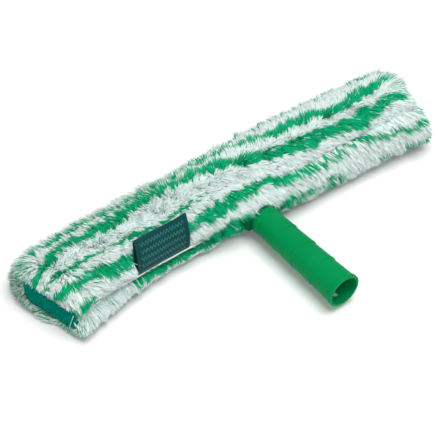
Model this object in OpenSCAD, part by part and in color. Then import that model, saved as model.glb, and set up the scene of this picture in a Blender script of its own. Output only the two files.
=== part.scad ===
// Window scrubber: a plastic T-bar with a ribbed tube handle, inside a washable pile sleeve.
// The origin is the centre of the handle's mouth. The handle runs along +Y, the head along X,
// and the tool lies on the broad side of its sleeve.

/* [Handle] */
// Length of the handle tube
handle_len = 121.5; // [100:0.5:160]
// Radius of the pole socket in the mouth
socket_r = 15.6; // [14:0.1:17]
// Depth of the pole socket
socket_depth = 22; // [18:1:26]
// Wall of the rim round the pole socket
rim_wall = 2.9; // [2.4:0.1:4]
// Length of the rim
rim_len = 5.5; // [4:0.5:8]
// Wall of the tube at the first rib, outside the pole socket's radius
rib_wall = 1.8; // [1.6:0.1:2.6]
// Wall of the tube at the handle's root, where it is thinnest
root_wall = 1.3; // [0.8:0.1:2.5]
// Distance from the mouth to the middle of the first rib
first_rib = 33.5; // [28:0.5:40]
// Distance from the middle of the last rib to the handle's root
last_rib_gap = 4; // [3:0.5:12]
// Number of ribs
rib_count = 4; // [2:1:5]
// How much each rib is slimmer than the one before it
rib_step = 0.5; // [0.1:0.1:0.6]
// Height of a rib over the tube on its mouth side
rib_rise = 0.9; // [0.5:0.1:1]
// Length of a rib
rib_len = 3; // [2:0.5:4]
// Radius of the lock hole for a pole's spring button
lock_r = 2.8; // [2:0.1:3.5]
// Distance from the mouth to the lock hole
lock_y = 12.4; // [12:0.2:18]

/* [T-bar] */
// Length of the saddle's neck, from its flange to the crossbar
neck_len = 18; // [15:0.5:40]
// Half length of the crossbar moulding, without its end caps
bar_half = 208; // [160:1:260]
// Depth of the crossbar from back to front
bar_w = 58; // [52:1:60]
// Thickness of the crossbar
bar_t = 18; // [16:0.5:20]
// Length of an end cap
cap_len = 8; // [6:1:9]
// Length of a water pocket along the crossbar
pocket_len = 28; // [20:1:34]
// Width of the rib between two water pockets
pocket_rib = 6.5; // [4:0.5:10]
// Distance from the middle to the first water pocket
pocket_start = 34; // [32:1:60]
// Length of the solid land at each end of the crossbar
end_land = 10; // [8:1:16]
// Corner radius of a water pocket
pocket_corner = 4; // [2:0.5:8]
// Thickness of the saddle's jaws
jaw_t = 3.5; // [2.5:0.5:4]
// Half width of the saddle's jaws
jaw_half = 24; // [20:1:26]
// Half width of the neck where it meets the handle
neck_half = 17.5; // [16:0.5:20]
// Thickness of the flange at the handle's root
flange_t = 3; // [2:0.5:4]
// How far the flange stands out past the tube's end
flange_lip = 0.3; // [0:0.1:0.6]
// Length of the spigot inside the handle
spigot_len = 22; // [15:1:30]
// Wall of the spigot
spigot_wall = 3.5; // [2:0.5:5]
// Clearance between the spigot and the tube
spigot_gap = 0.05; // [0.02:0.01:0.1]
// Shank radius of a saddle screw
screw_r = 1.9; // [1.5:0.1:2.2]
// Head radius of a saddle screw
screw_head_r = 3.6; // [3:0.1:4]
// Head height of a saddle screw
screw_head_h = 1.8; // [1.2:0.1:2]
// Clearance round a screw
screw_gap = 0.05; // [0.03:0.01:0.2]
// Radius of a peg on an end cap
peg_r = 3.2; // [2.5:0.1:4]
// Length of a peg on an end cap
peg_len = 6; // [4:0.5:7]

/* [Sleeve] */
// Clearance between the pocket's ends and the end caps
pocket_end_gap = 3; // [1:0.5:6]
// Depth of cloth and pile over the crossbar
depth_top = 14.5; // [12:0.5:18]
// Depth of cloth and pile under the crossbar, where the sleeve is pressed flat
depth_under = 14.5; // [12:0.5:18]
// Depth of cloth and pile behind the crossbar
depth_back = 20; // [17:0.5:25]
// Depth of cloth and pile in front of the closure
depth_front = 12.6; // [11:0.1:16]
// Extra front reach at the two ends, where the sleeve hangs loose
end_flare = 9; // [0:0.5:12]
// How far the front is drawn in at the closure on the left
waist = 3; // [0:0.5:4]
// Depth of the furrow along the right half's front shoulder
furrow = 4; // [0:0.5:6]
// Clearance between the pocket and the crossbar's faces
pocket_gap = 0.5; // [0.3:0.1:0.9]
// Clearance between the crossbar's front edge and the closure's layers
closure_gap = 1; // [0.5:0.1:3]
// Space behind the crossbar
back_space = 2; // [1:0.5:4]
// Clearance between soft pieces that move against each other
soft_gap = 0.3; // [0.2:0.05:0.5]
// Length of a closed end, from the pocket to the scrub pad
end_len = 15; // [13:0.5:18]
// Slant of the left end in plan, in degrees
left_slant = 17; // [0:1:18]
// Slant of the right end in plan, in degrees
right_slant = -5; // [-10:1:0]

/* [Trim] */
// Length of a scrub pad from back to front
pad_len = 55; // [40:1:60]
// Height of a scrub pad
pad_h = 24; // [16:1:26]
// Thickness of a scrub pad
pad_t = 3; // [2:0.5:4]
// Distance of a scrub pad's middle in front of the head's middle
pad_forward = 8; // [0:1:10]
// Thickness of the hook tape
hook_t = 1; // [0.6:0.1:1.2]
// Thickness of the loop tape
loop_t = 0.9; // [0.6:0.1:1.2]
// Thickness of the tongue that carries the loop tape
tongue_t = 1; // [0.6:0.1:1.2]
// Space between a closure tape and the pocket's top
tape_top_gap = 2.9; // [2.4:0.1:5]
// Distance of a closure tape from the slot for the neck
tape_near_gap = 8; // [3:0.5:20]
// Distance of a closure tape from the pocket's end
tape_far_gap = 16; // [6:0.5:30]
// Width of the binding on the flap's edge
binding_w = 3.6; // [2:0.2:4]
// Thickness of the binding
binding_t = 0.6; // [0.4:0.1:0.6]
// Width of the label along the seam
label_w = 62; // [40:1:70]
// Height of the folded label
label_h = 38; // [30:1:40]
// Thickness of the label's cloth
label_t = 0.6; // [0.4:0.1:0.8]
// Space between the label's two leaves
label_space = 0.8; // [0.4:0.1:1.2]
// Distance of the label's middle to the left of the handle
label_x = 109; // [80:1:130]
// Lean of the label over the front slope, in degrees from level
label_lean = 56; // [50:1:60]

/* [Hidden] */

$fn = 96;
eps = 0.01;
green = [0.02, 0.6, 0.32];
pile_white = [0.93, 0.95, 0.94];
teal = [0.0, 0.42, 0.38];
dark_teal = [0.0, 0.28, 0.27];

// Handle profile, shared by the tube and its ribs
rim_r = socket_r + rim_wall;
rib_r = socket_r + rib_wall;
rib_pitch = (handle_len - last_rib_gap - first_rib) / (rib_count - 1);
root_drop = 0.1;
root_r = rib_r - rib_step * rib_count - root_drop;
tube_bore_r = root_r - root_wall;
rim_edge = 0.7;
rim_back_drop = 0.8;
rib_tail = 0.35;

// T-bar places
reach = handle_len + flange_t + neck_len + bar_w / 2;
flange_r = root_r + flange_lip;
cap_corner = cap_len;
saddle_back = 20;
slot_gap = 0.2;
screw_x = 15;
screw_front = 13;
screw_back = 12;
peg_y = 14;
peg_gap = 0.05;
core_half_t = bar_t / 2 - jaw_t;

// Section of the sleeve, an oval with full shoulders
outer_n = 2.8;
inner_n = 10;
under_full = 1.125;
section_steps = 36;
station_pitch = 20;
hinge_t = 98;
hinge_gap_t = 0.35;
flap_edge_z = 5;
lip_edge_z = 5;
seam_z = 0.8;
lip_cut_outer_t = 194;
lip_cut_inner_t = 240;
bridge_edge_z = 11;
bridge_under = 0.6;
front_t = 180;
full_turn = 360;
waist_x = -95;
waist_spread = 55;
waist_limit_t = 82;
waist_ramp_t = 40;
furrow_t = 133;
furrow_spread = 10;
furrow_start = 50;
furrow_ramp = 40;
flare_power = 4;
slot_side_gap = 1;
slot_half = jaw_half + slot_side_gap;
hook_seat_gap = 0.2;
closure_space = hook_seat_gap + hook_t + soft_gap + loop_t + tongue_t + closure_gap;
pocket_half = bar_half + cap_len + pocket_end_gap;
pocket_z = bar_t / 2 + pocket_gap;
pocket_front = bar_w / 2 + closure_space;
pocket_back = bar_w / 2 + back_space;
pile_top = pocket_z + depth_top;
pile_under = pocket_z + depth_under;
pile_back = pocket_back + depth_back;
pile_front = pocket_front + depth_front;
end_steps = 6;
end_round = 11;

// Closure places: faces of its layers, counted forward from the head's middle
hook_face = pocket_front - hook_seat_gap;
loop_face = hook_face - hook_t - soft_gap;
tongue_face = loop_face - loop_t;
tongue_foot_gap = 3.5;
tape_h = pocket_z - seam_z - tape_top_gap;
tape_len = pocket_half - tape_far_gap - slot_half - tape_near_gap;

// Label places
label_foot_inset = 5.5;
label_foot_y = label_foot_inset - pile_front;
label_foot_z = 3;
label_rest_gap = 0.4;

function signed_pow(v, e) = sign(v) * pow(abs(v), e);
function clamp01(v) = max(0, min(1, v));
function bell(v, spread) = exp(-pow(v / spread, 2));

// Front reach of the pile at x, eased in below the shoulder so that the fold line stays straight
function front_at(x, t) =
    let (low = clamp01((waist_limit_t - abs(t - front_t)) / waist_ramp_t))
    pile_front + low * (end_flare * pow(abs(x) / pocket_half, flare_power)
        - waist * bell(x - waist_x, waist_spread));

// Share of the furrow at x and at the angle t
function furrow_at(x, t) =
    furrow * clamp01((x - furrow_start) / furrow_ramp) * bell(t - furrow_t, furrow_spread);

// Whether x lies under the label
function under_label(x) = abs(x + label_x) < label_w / 2 + 2;

// Line that the label leans on: the y that goes with a height z
function label_line(z) = label_foot_y + label_rest_gap + (z - label_foot_z) / tan(label_lean);

// Point of the pile's surface at x and at the angle t: 0 is the back, 90 the top, 180 the front
function outer_pt(x, t) =
    let (
        c = cos(t),
        s = sin(t),
        y = (c >= 0 ? pile_back : front_at(x, t)) * signed_pow(c, 2 / outer_n),
        z_full = (s >= 0 ? pile_top : pile_under * under_full) * signed_pow(s, 2 / outer_n),
        z = max(z_full, -pile_under),
        r = norm([y, z]),
        k = 1 - furrow_at(x, t) / r
    )
    [y * k, z * k];

// The same point, pressed back where the label lies on the flap
function flap_pt(x, t) =
    let (p = outer_pt(x, t))
    under_label(x) ? [max(p[0], label_line(p[1])), p[1]] : p;

// Point of the pocket's wall at the angle t
function inner_pt(t) =
    let (c = cos(t), s = sin(t))
    [(c >= 0 ? pocket_back : pocket_front) * signed_pow(c, 2 / inner_n),
     pocket_z * signed_pow(s, 2 / inner_n)];

// Angle at which the front of an oval reaches the height z
function outer_angle(z, half_h) = front_t - asin(pow(z / half_h, outer_n / 2));
function inner_angle(z) = front_t - asin(pow(z / pocket_z, inner_n / 2));

// Evenly spaced angles from a to b
function spread(a, b, n) = [for (i = [0:n]) a + (b - a) * i / n];

// Places along X from a to b, close enough for the sleeve's slow curves
function stations(a, b, pitch) =
    let (n = max(1, ceil(abs(b - a) / pitch)))
    spread(a, b, n);

// Places along X for the left flap, with a step at each side of the label
function flap_stations(a, b) =
    let (l = -label_x - label_w / 2 - 2, r = -label_x + label_w / 2 + 2)
    concat(
        stations(a, l - 4, station_pitch),
        stations(l + eps, r - eps, station_pitch),
        stations(r + 4, b, station_pitch)
    );

// Closed skin from an outer and an inner line of points at each place along X.
// lines is a list of [x, outer, inner], and both lines have the same number of points.
module channel(lines) {
    n = len(lines);
    m = len(lines[0][1]);
    points = [
        for (l = lines) each concat(
            [for (p = l[1]) [l[0], reach + p[0], p[1]]],
            [for (p = l[2]) [l[0], reach + p[0], p[1]]]
        )
    ];
    w = 2 * m;
    outer_faces = [
        for (i = [0:n - 2], j = [0:m - 2])
            [i * w + j, i * w + j + 1, (i + 1) * w + j + 1, (i + 1) * w + j]
    ];
    inner_faces = [
        for (i = [0:n - 2], j = [0:m - 2])
            [i * w + m + j, (i + 1) * w + m + j, (i + 1) * w + m + j + 1, i * w + m + j + 1]
    ];
    edge_faces = [
        for (i = [0:n - 2]) each [
            [i * w, (i + 1) * w, (i + 1) * w + m, i * w + m],
            [i * w + m - 1, i * w + w - 1, (i + 1) * w + w - 1, (i + 1) * w + m - 1]
        ]
    ];
    cap_faces = [
        for (j = [0:m - 2]) each [
            [j, m + j, m + j + 1, j + 1],
            [(n - 1) * w + j, (n - 1) * w + j + 1, (n - 1) * w + m + j + 1, (n - 1) * w + m + j]
        ]
    ];
    polyhedron(points, concat(outer_faces, inner_faces, edge_faces, cap_faces), convexity = 6);
}

// Closed skin through rings of points, from the low X end to the high X end
module ring_skin(rings) {
    n = len(rings);
    m = len(rings[0]);
    side_faces = [
        for (i = [0:n - 2], j = [0:m - 1])
            [i * m + j, i * m + (j + 1) % m, (i + 1) * m + (j + 1) % m, (i + 1) * m + j]
    ];
    first_cap = [for (j = [m - 1:-1:0]) j];
    last_cap = [for (j = [0:m - 1]) (n - 1) * m + j];
    points = [for (r = rings) each r];
    polyhedron(points, concat(side_faces, [first_cap, last_cap]), convexity = 4);
}

// Rectangle with round corners, centred
module round_rect(w, d, r) {
    square([w - 2 * r, d], center = true);
    square([w, d - 2 * r], center = true);
    for (x = [-1, 1], y = [-1, 1])
        translate([x * (w / 2 - r), y * (d / 2 - r)]) circle(r = r);
}

// Section of the crossbar, a flat bar with round edges
module bar_section() {
    flat = bar_w - bar_t;
    square([flat, bar_t], center = true);
    for (side = [-1, 1])
        translate([side * flat / 2, 0]) circle(r = bar_t / 2);
}

// Turns what is drawn in Y and Z into a bar along X, from x1 to x2 at the head's middle
module along_x(x1, x2) {
    translate([x1, reach, 0])
        rotate([90, 0, 90])
            linear_extrude(x2 - x1) children();
}

module crossbar() {
    pitch = pocket_len + pocket_rib;
    count = floor((bar_half - end_land - pocket_start + pocket_rib) / pitch);
    color(green)
    difference() {
        along_x(-bar_half, bar_half) bar_section();
        for (side = [-1, 1], i = [0:count - 1])
            translate([side * (pocket_start + pocket_len / 2 + i * pitch), reach, -bar_t])
                linear_extrude(2 * bar_t)
                    round_rect(pocket_len, bar_w - bar_t, pocket_corner);
        for (side = [-1, 1])
            translate([-jaw_half - slot_gap, reach - bar_w, side > 0 ? core_half_t : -bar_t])
                cube([2 * (jaw_half + slot_gap), bar_w + saddle_back + slot_gap,
                    bar_t - core_half_t]);
        screw_places()
            cylinder(r = screw_r + screw_gap, h = bar_t, center = true);
        for (side = [-1, 1], y = [-peg_y, peg_y])
            translate([side * bar_half, reach + y, 0])
                rotate([0, 90, 0])
                    cylinder(r = peg_r + peg_gap, h = 2 * (peg_len + 0.5), center = true);
    }
}

module end_cap(side) {
    outline_x = bar_half + cap_len;
    color(green) {
        intersection() {
            along_x(side > 0 ? bar_half : -outline_x, side > 0 ? outline_x : -bar_half)
                bar_section();
            translate([0, reach, -bar_t])
                linear_extrude(2 * bar_t)
                    round_rect(2 * outline_x, bar_w, cap_corner);
        }
        for (y = [-peg_y, peg_y])
            translate([side * (bar_half - peg_len / 2 + eps), reach + y, 0])
                rotate([0, 90, 0])
                    cylinder(r = peg_r, h = peg_len + 2 * eps, center = true);
    }
}

// Repeats its child at the four saddle screws
module screw_places() {
    for (x = [-screw_x, screw_x], y = [-screw_front, screw_back])
        translate([x, reach + y, 0]) children();
}

module tee_saddle() {
    flange_y = handle_len;
    neck_y = flange_y + flange_t;
    nose_y = reach - bar_w / 2 - slot_gap;
    color(green)
    difference() {
        union() {
            translate([0, 0, -bar_t / 2])
                linear_extrude(bar_t)
                    polygon([
                        [-neck_half, neck_y - eps], [neck_half, neck_y - eps],
                        [jaw_half, nose_y], [jaw_half, reach + saddle_back],
                        [-jaw_half, reach + saddle_back], [-jaw_half, nose_y]
                    ]);
            translate([0, flange_y, 0])
                rotate([-90, 0, 0]) cylinder(r = flange_r, h = flange_t);
            translate([0, flange_y - spigot_len, 0])
                rotate([-90, 0, 0])
                    cylinder(r = tube_bore_r - spigot_gap, h = spigot_len + eps);
        }
        translate([0, flange_y - spigot_len - eps, 0])
            rotate([-90, 0, 0])
                cylinder(r = tube_bore_r - spigot_gap - spigot_wall, h = spigot_len + eps);
        translate([-2 * jaw_half, nose_y, -core_half_t - slot_gap])
            cube([4 * jaw_half, bar_w + saddle_back, 2 * (core_half_t + slot_gap)]);
        screw_places()
            translate([0, 0, -bar_t])
                cylinder(r = screw_r + screw_gap, h = bar_t + core_half_t + jaw_t - 1);
        screw_places()
            translate([0, 0, -bar_t])
                cylinder(r = screw_head_r + screw_gap, h = bar_t / 2 + screw_head_h);
    }
}

module saddle_screws() {
    head_z = -bar_t / 2 + screw_head_h;
    color("silver")
    screw_places() {
        translate([0, 0, head_z - screw_head_h])
            cylinder(r = screw_head_r, h = screw_head_h);
        translate([0, 0, head_z - eps])
            cylinder(r = screw_r, h = core_half_t + jaw_t - 1.2 - head_z);
    }
}

// Outline of one rib in radius and distance from the mouth
function rib_points(i) =
    let (r = rib_r - rib_step * i, y = first_rib + rib_pitch * i, half = rib_len / 2)
    [[r - rib_rise, y - half - 0.4], [r - 0.15, y - half + 0.2], [r, y - half + 1],
     [r - 0.05, y + half * 0.4], [r - rib_tail, y + half]];

module handle() {
    color(green)
    difference() {
        rotate([-90, 0, 0])
            rotate_extrude()
                polygon(concat(
                    [[socket_r, 0], [rim_r - rim_edge, 0], [rim_r, rim_edge],
                     [rim_r, rim_len - 1.5], [rim_r - rim_back_drop, rim_len]],
                    [for (i = [0:rib_count - 1]) each rib_points(i)],
                    [[root_r, handle_len], [tube_bore_r, handle_len],
                     [tube_bore_r, socket_depth], [socket_r, socket_depth]]
                ));
        translate([0, lock_y, -rim_r - 2])
            cylinder(r = lock_r, h = rim_r);
    }
}

// The wrap of pile cloth: from the lower lip round the underside, back and top to the fold line
module pile_cover() {
    outer_t = spread(lip_cut_outer_t, full_turn + hinge_t - hinge_gap_t, section_steps);
    inner_t = spread(lip_cut_inner_t, full_turn + hinge_t - hinge_gap_t, section_steps);
    inner = [for (t = inner_t) inner_pt(t)];
    color(pile_white)
    channel([for (x = stations(-pocket_half, pocket_half, station_pitch))
        [x, [for (t = outer_t) outer_pt(x, t)], inner]]);
}

// The stretch of the front edge that stays closed over the neck
module pile_bridge() {
    steps = 10;
    under = bar_t / 2 + bridge_under;
    outer_t = spread(hinge_t - hinge_gap_t, outer_angle(bridge_edge_z, pile_top), steps);
    inner_a = inner_pt(hinge_t - hinge_gap_t);
    color(pile_white)
    channel([for (x = stations(-slot_half, slot_half, station_pitch))
        let (
            outer = [for (t = outer_t) outer_pt(x, t)],
            front_y = outer[steps][0] + 1,
            inner = [for (i = [0:steps])
                [inner_a[0] + (front_y - inner_a[0]) * i / steps, under]]
        )
        [x, outer, inner]]);
}

// A closed end: the section narrows to the slanted face that holds the scrub pad
module pile_end(side) {
    slant = side < 0 ? left_slant : right_slant;
    angles = [for (i = [0:section_steps - 1]) full_turn * i / section_steps];
    rings = [for (k = [0:end_steps])
        let (
            a = 90 * k / end_steps,
            inset = end_round * (1 - cos(a)),
            go = sin(a)
        )
        [for (t = angles)
            let (
                p = outer_pt(side * pocket_half, t),
                q = p * (1 - inset / norm(p)),
                x = side * (pocket_half + end_len * go) - q[0] * tan(slant) * go
            )
            [x, reach + q[0], q[1]]]];
    color(pile_white)
    ring_skin(side > 0 ? rings : [for (k = [end_steps:-1:0]) rings[k]]);
}

// X range of a closure piece on one side: from the neck's slot to near the pocket's end
function side_range(side) =
    let (near = slot_half + soft_gap, far = pocket_half - soft_gap)
    side > 0 ? [near, far] : [-far, -near];

// The lower lip of the closure
module closure_lip(side) {
    steps = 8;
    r = side_range(side);
    edge_t = full_turn - outer_angle(lip_edge_z, pile_under * under_full);
    outer_t = spread(edge_t, lip_cut_outer_t, steps);
    inner_t = spread(full_turn - inner_angle(soft_gap), lip_cut_inner_t, steps);
    inner = [for (t = inner_t) inner_pt(t)];
    color(pile_white)
    channel([for (x = stations(r[0], r[1], station_pitch))
        [x, [for (t = outer_t) outer_pt(x, t)], inner]]);
}

// The upper lip, which folds up and back about the line on top of the sleeve
module closure_flap(side) {
    steps = 18;
    r = side_range(side);
    outer_t = spread(hinge_t + hinge_gap_t, outer_angle(flap_edge_z, pile_top), steps);
    inner_t = spread(hinge_t + hinge_gap_t, inner_angle(seam_z), steps);
    inner = [for (t = inner_t) inner_pt(t)];
    places = side < 0 ? flap_stations(r[0], r[1]) : stations(r[0], r[1], station_pitch);
    color(pile_white)
    channel([for (x = places)
        [x, [for (i = [steps:-1:0]) side < 0 ? flap_pt(x, outer_t[i]) : outer_pt(x, outer_t[i])],
         [for (i = [steps:-1:0]) inner[i]]]]);
}

// Start of the closure tapes on one side
function tape_x(side) =
    let (near = slot_half + tape_near_gap)
    side > 0 ? near : -near - tape_len;

module closure_tongue(side) {
    foot_h = pocket_z - tongue_foot_gap;
    color(pile_white)
    translate([tape_x(side), reach, 0]) {
        translate([0, -tongue_face, -foot_h])
            cube([tape_len, tongue_t, foot_h + seam_z + tape_h]);
        translate([0, -hook_face, -foot_h])
            cube([tape_len, hook_face - tongue_face + eps, foot_h - soft_gap]);
    }
}

module loop_tape(side) {
    color("gainsboro")
    translate([tape_x(side), reach - loop_face, seam_z])
        cube([tape_len, loop_t, tape_h]);
}

module hook_tape(side) {
    color("white")
    translate([tape_x(side), reach - hook_face, seam_z])
        cube([tape_len, hook_t, tape_h]);
}

// The white binding on the flap's lower edge
module flap_binding(side) {
    r = side_range(side);
    color("white")
    translate([r[0], reach - pocket_front - binding_w, seam_z - 0.05 - binding_t])
        cube([r[1] - r[0], binding_w, binding_t]);
}

// Places its children on a closed end's face: X outwards, Y back, Z up
module on_end_face(side) {
    slant = side < 0 ? left_slant : right_slant;
    translate([side * (pocket_half + end_len), reach, 0])
        rotate([0, 0, slant])
            mirror([side < 0 ? 1 : 0, 0, 0]) children();
}

module scrub_pad(side) {
    r = 4;
    color(teal)
    on_end_face(side)
        translate([0, -pad_forward, 0])
            rotate([90, 0, 90])
                linear_extrude(pad_t) round_rect(pad_len, pad_h, r);
}

// One row of stitches down the pad's front edge
module pad_stitching(side) {
    count = 5;
    pitch = pad_h / (count + 1);
    color("white")
    on_end_face(side)
        for (i = [1:count])
            translate([pad_t, -pad_forward - pad_len / 2 + 3, -pad_h / 2 + pitch * i])
                translate([0, -0.4, -pitch * 0.35])
                    cube([0.5, 0.8, pitch * 0.7]);
}

// Places its children on the label's plane: X along the seam, Y up the lean, Z outwards
module on_label() {
    translate([-label_x, reach + label_foot_y, label_foot_z])
        rotate([label_lean, 0, 0]) children();
}

// The folded label: two leaves joined by a round fold at the top
module label() {
    outer_r = label_t + label_space / 2;
    straight = label_h - outer_r;
    color(dark_teal)
    on_label()
        translate([-label_w / 2, 0, outer_r])
            rotate([90, 0, 90])
                linear_extrude(label_w)
                difference() {
                    union() {
                        translate([0, -outer_r]) square([straight, 2 * outer_r]);
                        translate([straight, 0]) circle(r = outer_r);
                    }
                    translate([-eps, -label_space / 2]) square([straight + eps, label_space]);
                    translate([straight, 0]) circle(r = label_space / 2);
                }
}

module label_stitching() {
    count = 9;
    pitch = label_w / count;
    top_z = 2 * label_t + label_space;
    color("white")
    on_label()
        for (i = [0:count - 1])
            translate([-label_w / 2 + pitch * (i + 0.2), 1.6, top_z])
                cube([pitch * 0.6, 0.6, 0.3]);
}

crossbar();
end_cap(-1);  // end_cap_left
end_cap(1);  // end_cap_right
tee_saddle();
saddle_screws();
handle();
pile_cover();
pile_bridge();
pile_end(-1);  // pile_end_left
pile_end(1);  // pile_end_right
closure_lip(-1);  // closure_lip_left
closure_lip(1);  // closure_lip_right
closure_tongue(-1);  // closure_tongue_left
closure_tongue(1);  // closure_tongue_right
loop_tape(-1);  // loop_tape_left
loop_tape(1);  // loop_tape_right
closure_flap(-1);  // closure_flap_left
closure_flap(1);  // closure_flap_right
hook_tape(-1);  // hook_tape_left
hook_tape(1);  // hook_tape_right
flap_binding(-1);  // flap_binding_left
flap_binding(1);  // flap_binding_right
scrub_pad(-1);  // scrub_pad_left
scrub_pad(1);  // scrub_pad_right
pad_stitching(-1);  // pad_stitching_left
pad_stitching(1);  // pad_stitching_right
label();
label_stitching();
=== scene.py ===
"""Window scrubber: pile sleeve, T-bar, label and scrub pads.

Sizes are in millimetres here and turned to metres where the meshes are made.
"""
import math

import bmesh
import bpy
import numpy as np
from mathutils import Matrix, Vector


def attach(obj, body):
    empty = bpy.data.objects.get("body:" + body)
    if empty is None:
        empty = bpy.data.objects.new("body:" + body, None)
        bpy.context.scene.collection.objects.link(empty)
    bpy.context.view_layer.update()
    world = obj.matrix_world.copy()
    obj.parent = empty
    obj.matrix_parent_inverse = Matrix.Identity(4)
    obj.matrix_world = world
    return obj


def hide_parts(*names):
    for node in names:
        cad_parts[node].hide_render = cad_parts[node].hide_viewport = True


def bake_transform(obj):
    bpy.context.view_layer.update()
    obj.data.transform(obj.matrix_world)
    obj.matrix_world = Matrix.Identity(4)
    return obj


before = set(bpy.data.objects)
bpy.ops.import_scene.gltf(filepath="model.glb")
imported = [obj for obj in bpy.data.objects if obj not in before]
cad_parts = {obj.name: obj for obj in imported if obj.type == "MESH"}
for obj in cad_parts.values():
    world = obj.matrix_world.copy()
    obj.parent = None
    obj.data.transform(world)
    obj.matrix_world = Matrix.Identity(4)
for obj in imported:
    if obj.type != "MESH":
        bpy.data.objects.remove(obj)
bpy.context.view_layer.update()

rng = np.random.default_rng(7)      # thins the pile at the two closed ends

MM = 0.001
SIDES = ((-1, "left"), (1, "right"))
HEAD_Y = 171.5          # middle of the head, from the handle's mouth
POCKET_HALF = 219.0     # half length of the sleeve's straight part
FOLD_T = 98.0           # angle of the flaps' fold line
FLAP_EDGE_T = 177.0     # angle of the flaps' lower edge in the cloth
BRIDGE_T = 152.0        # angle down to which the sleeve stays closed over the neck
SLOT = 25.3             # half width of the slot for the neck
SEAM_GAP = 0.3          # between a flap and the cloth beside it
OVAL = 2.8              # fullness of the sleeve's section
FURROW_T = 131.0        # angle of the furrow in the right half's front shoulder
END_ARC = 20.0          # length of the rounding at a closed end
SLANT_LEFT, SLANT_RIGHT = 14.5, -14.0   # slant of the closed ends, in degrees

# Places along X where the sleeve's section is stated
PLACES = [-228, -190, -140, -90, -40, 10, 60, 110, 160, 200, 228]
TIP_BACK = [51, 55, 56, 56, 55, 56, 57.5, 55, 51.5, 49, 46.5]
TIP_FRONT_UP = [52, 46, 43, 41.5, 44.5, 47.5, 49.5, 49.4, 54.7, 60.5, 65]
TIP_FRONT_LOW = [62, 53, 42, 38.5, 41, 43, 49, 52, 54, 57.5, 66]
SEAM_Y, SEAM_Z = -38.4, 5.4   # bound edge of the opening
TIP_TOP = 26.0
TIP_UNDER = 27.0
FLOOR = -24.0

# Green stripes: the places along X, and the two edges on the perimeter in mm,
# 0 on top, positive to the front
STRIPES = [
    ([-225, -182, -120, -70, -5, 31, 60, 107, 130, 152, 181, 210, 225],
     [-41, -43.5, -41.5, -42.5, -46, -41.5, -29.5, -32, -29, -17.5, -29, -24, -22],
     [-36.5, -39.5, -37.5, -39.5, -41, -36, -21.5, -21, -11.5, -8, -11, -16.5, -17]),
    ([-240, -225, -212, -195, -172, -155, -139, -125, -97, -58, -10,
      14, 38, 63, 88, 110, 130, 158, 180, 200, 218],
     [-9, -14, -21, -28.5, -30.5, -27, -31, -29.5, -34.5, -34, -32,
      -22, -13, -7, -2, -1.5, 5, 8, 1.5, 2.5, 5],
     [-1, -6, -12, -21.5, -19.5, -14.5, -21, -14, -25, -27.5, -21,
      -5, 3.5, 9, 20, 13.5, 15, 24, 14, 16, 8]),
    ([-240, -225, -205, -193, -170, -150, -123, -95, -60, -40],
     [7, 5, 2.5, 1.5, 4, 5, 7, 8.5, 5, 3],
     [11, 8.5, 5.5, 5.5, 6, 8, 11, 14, 8, 4]),
    ([-240, -225, -210, -197, -182, -165, -148, -79, -50, -30,
      -12, 14, 34, 57, 80, 120, 165, 205, 225],
     [30, 25.5, 19, 16, 18, 23, 27, 24, 23.5, 22,
      23, 16.5, 28, 33.5, 37, 38, 38.8, 43.5, 43],
     [35, 30.5, 24.5, 28, 34, 38, 39, 40, 37, 33,
      31, 31, 35, 39.5, 39, 39.4, 41.2, 46, 45]),
    ([-228, -216, -206, -196], [48, 44, 41, 50], [54, 56, 59, 50]),
    ([-216, -208, -198, -190], [80, 78, 79, 82], [80, 90, 89, 82]),
    ([-152, -142, -120, -80, -52, -33, 27, 45, 70, 92, 110],
     [66, 62, 62, 61, 52, 49, 50, 57, 58.5, 58.5, 60],
     [66, 70, 73, 72, 76, 78, 73, 66, 61, 60.5, 60.5]),
    ([36, 42, 56, 62], [72, 71, 71, 73], [75, 78, 78, 75]),
    ([82, 90, 104, 112], [71, 70, 70, 72], [73, 76, 76, 73]),
    ([156, 162, 172, 178], [70, 69, 69, 71], [72, 75, 75, 72]),
    ([188, 197, 206, 218], [66, 62, 60, 64], [68, 72, 76, 72]),
    ([-230, 230], [86, 88], [99, 101]),
    ([-230, 230], [114, 116], [121, 123]),
    ([-230, 230], [-74, -62], [-61, -49]),
    ([-230, 230], [-96, -86], [-90, -80]),
    ([-230, 230], [-124, -114], [-112, -102]),
]


def eased(x, xs, vs):
    """Value at x between the stated places, without corners."""
    parts = [np.interp(x + d, xs, vs) for d in (-12, 0, 12)]
    return (parts[0] + 2 * parts[1] + parts[2]) / 4


def front_of(x, t):
    """Reach of the pile to the front, above and below the opening."""
    low = 1 / (1 + np.exp(-(t - 184) / 2.0))
    return eased(x, PLACES, TIP_FRONT_UP) * (1 - low) + eased(x, PLACES, TIP_FRONT_LOW) * low


def oval(c, s, back, front, top, under, floor):
    """Y and Z of a full oval at the angle with cosine c and sine s, cut off at the floor."""
    y = np.where(c >= 0, back, front) * np.sign(c) * np.abs(c) ** (2 / OVAL)
    z = np.where(s >= 0, top, under) * np.sign(s) * np.abs(s) ** (2 / OVAL)
    return y, np.maximum(z, floor)


def furrow(x, t):
    """Depth of the furrow along the right half's front shoulder."""
    middle = FURROW_T + 0.05 * (130 - x)
    return np.clip((x - 20) / 50, 0, 1) * np.exp(-((t - middle) / 7.0) ** 2)


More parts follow.
